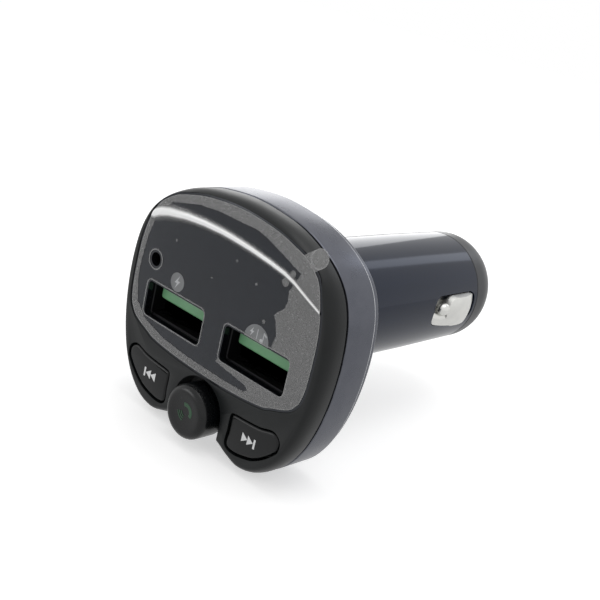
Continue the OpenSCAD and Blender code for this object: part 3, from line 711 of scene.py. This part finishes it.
def usb_socket(side, word):
    x = side * PORT_X
    outside = round_window(x, PORT_Z, PORT_W, PORT_H, 0.55)
    bm = bmesh.new()
    sweep(bm, outside, [(SHEET, PORT_BACK), (SHEET, PORT_FRONT + 0.12), (SHEET * 0.6, PORT_FRONT),
                        (0.05, PORT_FRONT), (0, PORT_FRONT + 0.08), (0, PORT_BACK),
                        (SHEET, PORT_BACK)], closed=False)
    tube = made("usb_shell_" + word + "_sheet", bm)
    for dx in (-3.2, 3.2):
        carve(tube, box("cutter", (x + dx - 1, FACE_Y + PORT_FRONT + 2, PORT_Z - PORT_H),
                        (x + dx + 1, FACE_Y + PORT_FRONT + 5.2, PORT_Z)))
    settle(tube, "housing", "usb_shell", socket_dark, "usb_shell_" + word)
    tongue = box("tongue", (x - TONGUE_W / 2, FACE_Y + TONGUE_FRONT, TONGUE_Z - TONGUE_T / 2),
                 (x + TONGUE_W / 2, FACE_Y + PORT_BACK, TONGUE_Z + TONGUE_T / 2))
    break_edges(tongue, 0.4, 3)
    back = box("back", (x - PORT_W / 2 + SHEET + 0.1, FACE_Y + PORT_BACK - 1.4,
                        PORT_Z - PORT_H / 2 + SHEET + 0.1),
               (x + PORT_W / 2 - SHEET - 0.1, FACE_Y + PORT_BACK,
                PORT_Z + PORT_H / 2 - SHEET - 0.1))
    insert = join("usb_insert_" + word + "_tongue", tongue, back)
    settle(insert, "housing", "usb_insert", green_insert, "usb_insert_" + word)


usb_socket(-1, "left")
usb_socket(1, "right")

# %% [markdown]
# The side keys are low pads that follow their windows, with a soft edge all round. The next and
# previous marks on them are thin white prints, two triangles and a bar.

# %% Side keys
KEY_D = 0.12
KEY_BACK = 3.1


def flat_print(name, loops, y, thick=0.02):
    """Thin printed marks: each loop of (x, z) points is a closed plate in front of depth y."""
    bm = bmesh.new()
    for loop in loops:
        face = bm.faces.new([bm.verts.new((px * MM, (FACE_Y + y) * MM, pz * MM))
                             for px, pz in loop])
        out = bmesh.ops.extrude_face_region(bm, geom=[face])
        for v in [g for g in out["geom"] if isinstance(g, bmesh.types.BMVert)]:
            v.co.y -= thick * MM
    return made(name, bm)


def skip_mark(x, z, mirror):
    """Two triangles and a bar, as on any player's skip key."""
    w, h, bar = 1.15, 1.5, 0.36
    shapes = []
    for start in (-1.35, -1.35 + w):
        shapes.append([(start, -h / 2), (start, h / 2), (start + w, 0)])
    shapes.append([(-1.35 + 2 * w + 0.08, -h / 2), (-1.35 + 2 * w + 0.08, h / 2),
                   (-1.35 + 2 * w + 0.08 + bar, h / 2), (-1.35 + 2 * w + 0.08 + bar, -h / 2)])
    return [[(x + mirror * px, z + pz) for px, pz in shape] for shape in shapes]


for mirror, body, node in ((1, "next_button", "next_key"), (-1, "prev_button", "prev_key")):
    bm = bmesh.new()
    loop = KEY_LOOP * (mirror, 1)
    if mirror < 0:
        loop = loop[::-1]
    sweep(bm, loop, arc(0.45, KEY_D + 0.45, 0.45, -90, 0, 5) + [(0, KEY_BACK)])
    key = made(node + "_pad", bm, 40)
    settle(key, body, "side_key", key_satin, node)
    mark = flat_print(node + "_mark", skip_mark(mirror * 11.42, -14.95, mirror), KEY_D)
    settle(mark, body, "side_key", white_print)

# %% [markdown]
# The call knob stands out of the face. It is turned: a side wall, a rounded edge and a face that
# dips a little. The green handset on it is a print that lies in that dip.

# %% Call knob
KNOB_SEAT = 2.0
bm = bmesh.new()
edge_r = 1.15
profile = [(KNOB_R, -KNOB_SEAT), (KNOB_R, KNOB_OUT - edge_r)]
profile += [(KNOB_R - edge_r + edge_r * math.cos(a), KNOB_OUT - edge_r + edge_r * math.sin(a))
            for a in np.linspace(0, math.pi / 2, 8)[1:]]
profile += [(2.6, KNOB_OUT - 0.07), (1.3, KNOB_OUT - 0.12), (0, KNOB_OUT - 0.14)]
verts = [bm.verts.new((r * MM, (FACE_Y - out) * MM, KNOB_Z * MM))
         for r, out in [(0, -KNOB_SEAT)] + profile]
edges = [bm.edges.new(pair) for pair in zip(verts, verts[1:])]
bmesh.ops.spin(bm, geom=verts + edges, axis=(0, 1, 0), cent=(0, 0, KNOB_Z * MM),
               angle=2 * math.pi, steps=96, use_merge=True)
knob = made("knob", bm, 40)
settle(knob, "call_button", "call_knob", knob_satin, "call_knob")


def ring_part(cx, cz, r0, r1, a0, a1, steps=12):
    """A stretch of a flat ring, as one closed loop of (x, z) points."""
    up = [math.radians(a0 + (a1 - a0) * k / steps) for k in range(steps + 1)]
    outer = [(cx + r1 * math.cos(a), cz + r1 * math.sin(a)) for a in up]
    inner = [(cx + r0 * math.cos(a), cz + r0 * math.sin(a)) for a in reversed(up)]
    return outer + inner


handset = [ring_part(0.3, KNOB_Z + 0.3, 0.85, 1.45, -25, 115, 14)]
waves = [ring_part(0.4, KNOB_Z + 0.4, r, r + 0.16, 195, 255, 8) for r in (0.85, 1.25, 1.65)]
call_mark = flat_print("call_mark", handset + waves, -KNOB_OUT + 0.1, 0.02)
settle(call_mark, "call_button", "call_knob", green_print)

# %% [markdown]
# The pieces inside keep their CAD meshes, because nothing of them shows but glimpses through
# the openings. Each still gets the finish of the real part, board, can, chip or spring.

# %% Finishes for the pieces inside
board_green = finish("board_green", (0.01, 0.07, 0.03), (0.015, 0.1, 0.045), rough=(0.3, 0.4))
chip_black = finish("chip_black", (0.02, 0.02, 0.021), rough=(0.5, 0.6), grain=0.2)
can_grey = finish("can_grey", (0.45, 0.46, 0.48), rough=(0.25, 0.35), metal=1.0)
rubber = finish("rubber", (0.015, 0.015, 0.015), rough=(0.6, 0.7), grain=0.3)
cream = finish("cream", (0.55, 0.5, 0.38), rough=(0.45, 0.55), grain=0.1)
ceramic = finish("ceramic", (0.35, 0.22, 0.1), rough=(0.4, 0.5))
display_dark = finish("display_dark", (0.008, 0.008, 0.009), rough=(0.2, 0.3), grain=0.02)
INSIDE = {
    "main_board": board_green, "power_board": board_green, "board_header": chip_black,
    "display_module": display_dark, "display_pins": tin_sheet, "usb_contacts_left": gold_plate,
    "usb_contacts_right": gold_plate, "microphone": can_grey, "mic_boot": rubber,
    "prev_switch": chip_black, "call_switch": chip_black, "next_switch": chip_black,
    "prev_actuator": cream, "call_actuator": cream, "next_actuator": cream,
    "bluetooth_chip": chip_black, "fm_chip": chip_black, "crystal": can_grey,
    "display_driver": chip_black, "converter_chip": chip_black, "power_inductor": chip_black,
    "input_capacitor": can_grey, "output_capacitor": ceramic, "board_screws": tin_sheet,
    "contact_seat": cream, "contact_spring": nickel, "clip_spring_left": nickel,
    "clip_spring_right": nickel,
}
for name, material in INSIDE.items():
    mesh = NODES[name].data
    mesh.materials.clear()
    mesh.materials.append(material)
print(len(INSIDE), "inner pieces have their finish")

# %% [markdown]
# Marks printed behind the lens: a charge sign in a disc, and a dome with a charge sign, a line
# and a note.

# %% Marks on the lens


def bolt(x, z, h):
    """A lightning sign of height h."""
    points = [(0.15, 0.5), (-0.28, -0.08), (-0.02, -0.08), (-0.15, -0.5), (0.28, 0.1),
              (0.02, 0.1)]
    return [(x + px * h, z + pz * h) for px, pz in points]


CHARGE_AT = (-9.3, 1.7)
DOME_AT = (8.6, -0.25)
disc = flat_print("charge_disc", [circle_loop(*CHARGE_AT, 1.5, 40)], 0.0, 0.015)
settle(disc, "housing", "display_lens", grey_print)
sign = flat_print("charge_sign", [bolt(*CHARGE_AT, 2.1)], -0.015, 0.01)
settle(sign, "housing", "display_lens", pale_print)
dome_loop = ring_part(*DOME_AT, 0.0, 2.45, 0, 180, 24)[:25]
dome = flat_print("function_dome", [dome_loop], 0.0, 0.015)
settle(dome, "housing", "display_lens", grey_print)
note = [ring_part(9.55, 0.15, 0, 0.34, 0, 360, 14)[:14],
        [(9.75, 0.15), (9.9, 0.15), (9.9, 1.55), (9.75, 1.55)],
        [(9.85, 1.55), (9.85, 1.2), (10.4, 0.95), (10.4, 1.2)]]
line = [(8.52, 0.0), (8.52, 1.6), (8.64, 1.6), (8.64, 0.0)]
signs = flat_print("function_signs", note + [line, bolt(7.5, 0.85, 1.45)], -0.015, 0.01)
settle(signs, "housing", "display_lens", pale_print)

# %% [markdown]
# The protective film is still on, as on a new unit. It sticks where it is dark and clear, and
# where air is under it, it turns a speckled grey. The mask for that is painted on the sheet's
# own vertices, from distances to the sheet's edge, to the ragged front of the wet patch and to
# a few bubbles, so that the material can read it. The same layer also carries a painted
# highlight: a near-white, opaque line along the crease across the top, standing in for the
# light that the crease catches.

# %% Protective film
FILM_GAP = 0.035
FILM_T = 0.05
FILM_IN = 0.35
TAB_AT = (15.7, 14.9)
TAB_R = 1.4


def to_segments(p, line):
    """Distance from each point to a line of points."""
    a, b = line[:-1], line[1:]
    d = b - a
    t = np.clip(((p[:, None] - a) * d).sum(2) / (d ** 2).sum(1), 0, 1)
    return np.linalg.norm(p[:, None] - a - t[..., None] * d, axis=2).min(1)


def inside(p, loop):
    a, b = loop, np.roll(loop, -1, 0)
    hit = (a[:, 1] > p[:, None, 1]) != (b[:, 1] > p[:, None, 1])
    rise = np.where(b[:, 1] == a[:, 1], 1e-9, b[:, 1] - a[:, 1])
    cross = a[:, 0] + (p[:, None, 1] - a[:, 1]) * (b[:, 0] - a[:, 0]) / rise
    return ((hit & (p[:, None, 0] < cross)).sum(1) % 2).astype(bool)


FILM_LOOP = drawn_in(LENS_LOOP, FILM_IN)
CREASE_LINE = np.array([(-17.2, 10.2), (-16, 10.8), (-14, 11.4), (-10, 12.05), (-6, 12.35),
                        (-2, 12.4), (0, 12.3), (4, 12), (8, 11.5), (11, 11), (13, 10.4), (16, 9.1),
                        (18.4, 8.1)])


FOLD_X = (-18, -14, -8, 8, 18.4)
FOLD_W = (0.85, 0.7, 0.5, 0.34, 0.2)


def crease(x, z):
    """How far the film stands off the lens along the crease across its top."""
    ridge = np.interp(x, CREASE_LINE[:, 0], CREASE_LINE[:, 1])
    high = np.interp(x, FOLD_X, (0.3, 0.26, 0.2, 0.16, 0.12))
    return high * math.exp(-((z - ridge) / np.interp(x, FOLD_X, FOLD_W)) ** 2)


film = face_sheet("film", -FILM_GAP - FILM_T, -FILM_GAP, 300, 240, crease)
tilt = math.radians(40)
tab = prism(circle_loop(*TAB_AT, TAB_R, 40), -2, 2)
neck = np.array([(-4, -TAB_R), (-4, TAB_R), (0, TAB_R), (0, -TAB_R)])
neck = neck @ np.array([[math.cos(tilt), math.sin(tilt)], [-math.sin(tilt), math.cos(tilt)]])
mask = prism(FILM_LOOP, -2, 2)
carve(mask, tab, "UNION")
carve(mask, prism(neck + TAB_AT, -2, 2), "UNION")
carve(film, mask, "INTERSECT")


def film_window(side):
    return round_window(side * PORT_X - 0.12, PORT_Z + 0.1, PORT_W + 0.35, PORT_H + 0.25, 0.9)


for side in (-1, 1):
    carve(film, prism(film_window(side), -2, 2))
carve(film, rod("cutter", 1.5, -2, 2, MIC_X, MIC_Z, 40))

WET_LOOP = np.array([(-18.3, 2), (-17.8, 6), (-16.8, 9.4), (-15.2, 11.6), (-13.9, 13), (-12, 13.5),
                     (-8, 14.5), (-4, 14.9), (4, 14.9), (6, 14.5), (10, 13.2), (13.6, 11.9),
                     (13.0, 10.2), (12.4, 9), (12.6, 7.5), (12.3, 6.3), (11.2, 5.3), (10.8, 4.7),
                     (11.3, 4), (11.7, 3), (12, 2), (11.7, 0.8), (11.6, -0.2), (9, -3), (3, -3),
                     (1.9, -6.5), (5, -6.9), (8.3, -7.3), (9.1, -7.9), (8.4, -8.4), (4, -8.6),
                     (-4, -8.5), (-10, -8), (-14.9, -6.7), (-17.4, -4.6), (-18.3, -1)])
BUBBLES = [(11.4, 9.9, 0.6), (12.3, 11.4, 0.5), (10.7, -7.4, 0.35), (9.2, 3.1, 0.28),
           (6.3, 7.6, 0.2), (-2.4, 5.2, 0.16), (1.8, 9.4, 0.2), (-11.2, 7.8, 0.18)]


def paint_film(obj):
    mesh = obj.data
    co = np.empty(len(mesh.vertices) * 3)
    mesh.vertices.foreach_get("co", co)
    p = co.reshape(-1, 3)[:, [0, 2]] / MM
    edge = to_segments(p, np.vstack([WET_LOOP, WET_LOOP[:1]]))
    wet = np.where(inside(p, WET_LOOP), edge, -edge)
    for x, z, r in BUBBLES:
        wet = np.minimum(wet, np.hypot(p[:, 0] - x, p[:, 1] - z) - r)
    value = np.clip(0.5 + wet / 0.6, 0, 1)
    # Red is where the film sticks, green its cut edges, blue a painted highlight along the crease.
    layer = mesh.color_attributes.new("stuck", "FLOAT_COLOR", "POINT")
    cut = np.minimum(to_segments(p, np.vstack([FILM_LOOP, FILM_LOOP[:1]])),
                     np.abs(np.hypot(p[:, 0] - TAB_AT[0], p[:, 1] - TAB_AT[1]) - TAB_R))
    for side in (-1, 1):
        hole = film_window(side)
        cut = np.minimum(cut, to_segments(p, np.vstack([hole, hole[:1]])))
    cut = np.minimum(cut, np.abs(np.hypot(p[:, 0] - MIC_X, p[:, 1] - MIC_Z) - 1.5))
    rim = np.clip(1 - cut / 0.22, 0, 1)
    # Blue: a painted highlight, a white line along the crease, wider on the left, thinning to the
    # right and fading out at both ends.
    off = p[:, 1] - np.interp(p[:, 0], CREASE_LINE[:, 0], CREASE_LINE[:, 1])
    wide = np.interp(p[:, 0], FOLD_X, FOLD_W)
    crease_highlight = np.clip(1.5 * np.exp(-(off / wide) ** 2), 0, 1)
    crease_highlight *= np.interp(p[:, 0], (-18.4, -17.9, 18.2, 18.6), (0, 1, 1, 0))
    colours = np.stack([value, rim, crease_highlight, np.ones_like(value)], 1)
    layer.data.foreach_set("color", colours.ravel())
    print("film: stuck over", round(100 * float((value > 0.5).mean())), "% of its points")


paint_film(film)


def film_material():
    material = bpy.data.materials.new("protective_film")
    material.use_nodes = True
    nodes, links = material.node_tree.nodes, material.node_tree.links
    shader = nodes["Principled BSDF"]

    def noise(per_mm, detail):
        node = nodes.new("ShaderNodeTexNoise")
        node.inputs["Scale"].default_value = per_mm / MM
        node.inputs["Detail"].default_value = detail
        links.new(place.outputs["Object"], node.inputs["Vector"])
        return node.outputs["Fac"]

    def span(value, from_min, from_max, to_min, to_max):
        node = nodes.new("ShaderNodeMapRange")
        for name, number in (("Value", value), ("From Min", from_min), ("From Max", from_max),
                             ("To Min", to_min), ("To Max", to_max)):
            if isinstance(number, (int, float)):
                node.inputs[name].default_value = number
            else:
                links.new(number, node.inputs[name])
        return node.outputs["Result"]

    def add(a, b, operation="ADD"):
        node = nodes.new("ShaderNodeMath")
        node.operation = operation
        links.new(a, node.inputs[0])
        links.new(b, node.inputs[1])
        return node.outputs["Value"]

    place = nodes.new("ShaderNodeTexCoord")
    paint = nodes.new("ShaderNodeAttribute")
    paint.attribute_name = "stuck"
    split = nodes.new("ShaderNodeSeparateColor")
    links.new(paint.outputs["Color"], split.inputs["Color"])
    stuck = add(split.outputs["Red"], span(noise(1.8, 4), 0, 1, -0.2, 0.2))
    mask = span(stuck, 0.42, 0.58, 0, 1)
    haze = span(noise(6, 2), 0.4, 0.66, 0.3, 0.42)
    specks = span(noise(3.2, 1), 0.66, 0.7, 0, 0.3)
    dry = add(haze, specks)
    clear = span(mask, 0, 1, dry, 0.0)
    edged = add(clear, span(split.outputs["Green"], 0, 1, 0, 0.6), "MAXIMUM")
    # The blue channel is the painted highlight along the crease: there the film turns opaque and
    # nearly white.
    links.new(add(edged, split.outputs["Blue"], "MAXIMUM"), shader.inputs["Alpha"])
    pale = add(span(split.outputs["Green"], 0, 1, 0.34, 0.45),
               span(split.outputs["Blue"], 0, 1, 0, 0.95), "MAXIMUM")
    links.new(pale, shader.inputs["Base Color"])
    links.new(span(mask, 0, 1, 0.34, 0.1), shader.inputs["Roughness"])
    bump = nodes.new("ShaderNodeBump")
    links.new(span(mask, 0, 1, 0.22, 0.0), bump.inputs["Strength"])
    bump.inputs["Distance"].default_value = 0.04 * MM
    links.new(noise(1.2, 4), bump.inputs["Height"])
    links.new(bump.outputs["Normal"], shader.inputs["Normal"])
    return material


smooth(film, 30)
settle(film, "housing", "protective_film", film_material(), "protective_film")

# %% [markdown]
# A plain pale floor under the object, and four soft lamps: one over it, one behind on the left,
# one in front on the left, and a narrow bluish one whose reflection is the streak along the
# barrel. The camera, reflections and clear surfaces see the world as white. Reflections show the
# floor nearly white and even, so that its shade doesn't speckle the lens. The light on the
# object is plain.

# %% Floor, light and background
FLOOR_GAP = 0.5
bm = bmesh.new()
bmesh.ops.create_grid(bm, x_segments=1, y_segments=1, size=1.5)
bmesh.ops.translate(bm, vec=(0, 0, cad_low.z - FLOOR_GAP * MM), verts=bm.verts)
floor = made("floor", bm)


def between(tree, fac, at_zero, at_one):
    """A value that goes from at_zero to at_one as a socket goes from 0 to 1."""
    node = tree.nodes.new("ShaderNodeMapRange")
    node.inputs["To Min"].default_value = at_zero
    node.inputs["To Max"].default_value = at_one
    tree.links.new(fac, node.inputs["Value"])
    return node.outputs["Result"]


def combined(tree, a, b, operation):
    node = tree.nodes.new("ShaderNodeMath")
    node.operation = operation
    tree.links.new(a, node.inputs[0])
    tree.links.new(b, node.inputs[1])
    return node.outputs["Value"]


WORLD_LEVEL = 0.6
world = bpy.data.worlds.new("studio")
scene.world = world
world.use_nodes = True
tree = world.node_tree
back = tree.nodes["Background"]
back.inputs["Color"].default_value = (1, 1, 1, 1)
rays = tree.nodes.new("ShaderNodeLightPath").outputs
white = combined(tree, rays["Is Camera Ray"], rays["Is Glossy Ray"], "MAXIMUM")
white = combined(tree, white, rays["Is Transmission Ray"], "MAXIMUM")
tree.links.new(between(tree, white, WORLD_LEVEL, 1.0), back.inputs["Strength"])

FLOOR_TONE = 0.85
floor_paint = bpy.data.materials.new("floor_paint")
floor_paint.use_nodes = True
tree = floor_paint.node_tree
shader = tree.nodes["Principled BSDF"]
shader.inputs["Roughness"].default_value = 0.9
shader.inputs["Specular IOR Level"].default_value = 0.0
shader.inputs["Emission Color"].default_value = (1, 1, 1, 1)
rays = tree.nodes.new("ShaderNodeLightPath").outputs
seen = between(tree, rays["Is Camera Ray"], 0.0, 0.5)
mirrored = between(tree, rays["Is Glossy Ray"], 0.0, 0.7)
tree.links.new(combined(tree, seen, mirrored, "ADD"), shader.inputs["Emission Strength"])
tree.links.new(between(tree, rays["Is Glossy Ray"], FLOOR_TONE, 0.2), shader.inputs["Base Color"])
floor.data.materials.append(floor_paint)
print("world", WORLD_LEVEL, "to soft light, floor tone", FLOOR_TONE)


def lamp(name, at, aim, size, power, tone=(1, 1, 1)):
    data = bpy.data.lights.new(name, "AREA")
    data.shape = "RECTANGLE"
    data.size, data.size_y = (s * MM for s in size)
    data.energy = power
    data.color = tone
    light = bpy.data.objects.new(name, data)
    scene.collection.objects.link(light)
    at, aim = Vector(at) * MM, Vector(aim) * MM
    light.matrix_world = (Matrix.Translation(at)
                          @ (aim - at).to_track_quat("-Z", "Y").to_matrix().to_4x4())


MIDDLE = (0, 20, 0)
lamp("back_left", (-290, 330, 120), MIDDLE, (230, 260), 0.28)
lamp("front_left", (-240, -310, 90), (0, 0, 0), (200, 140), 0.25)
lamp("over", (40, 40, 340), MIDDLE, (200, 200), 0.25)
lamp("streak", (33, 388, 260), MIDDLE, (80, 200), 0.06, (0.85, 0.9, 1))
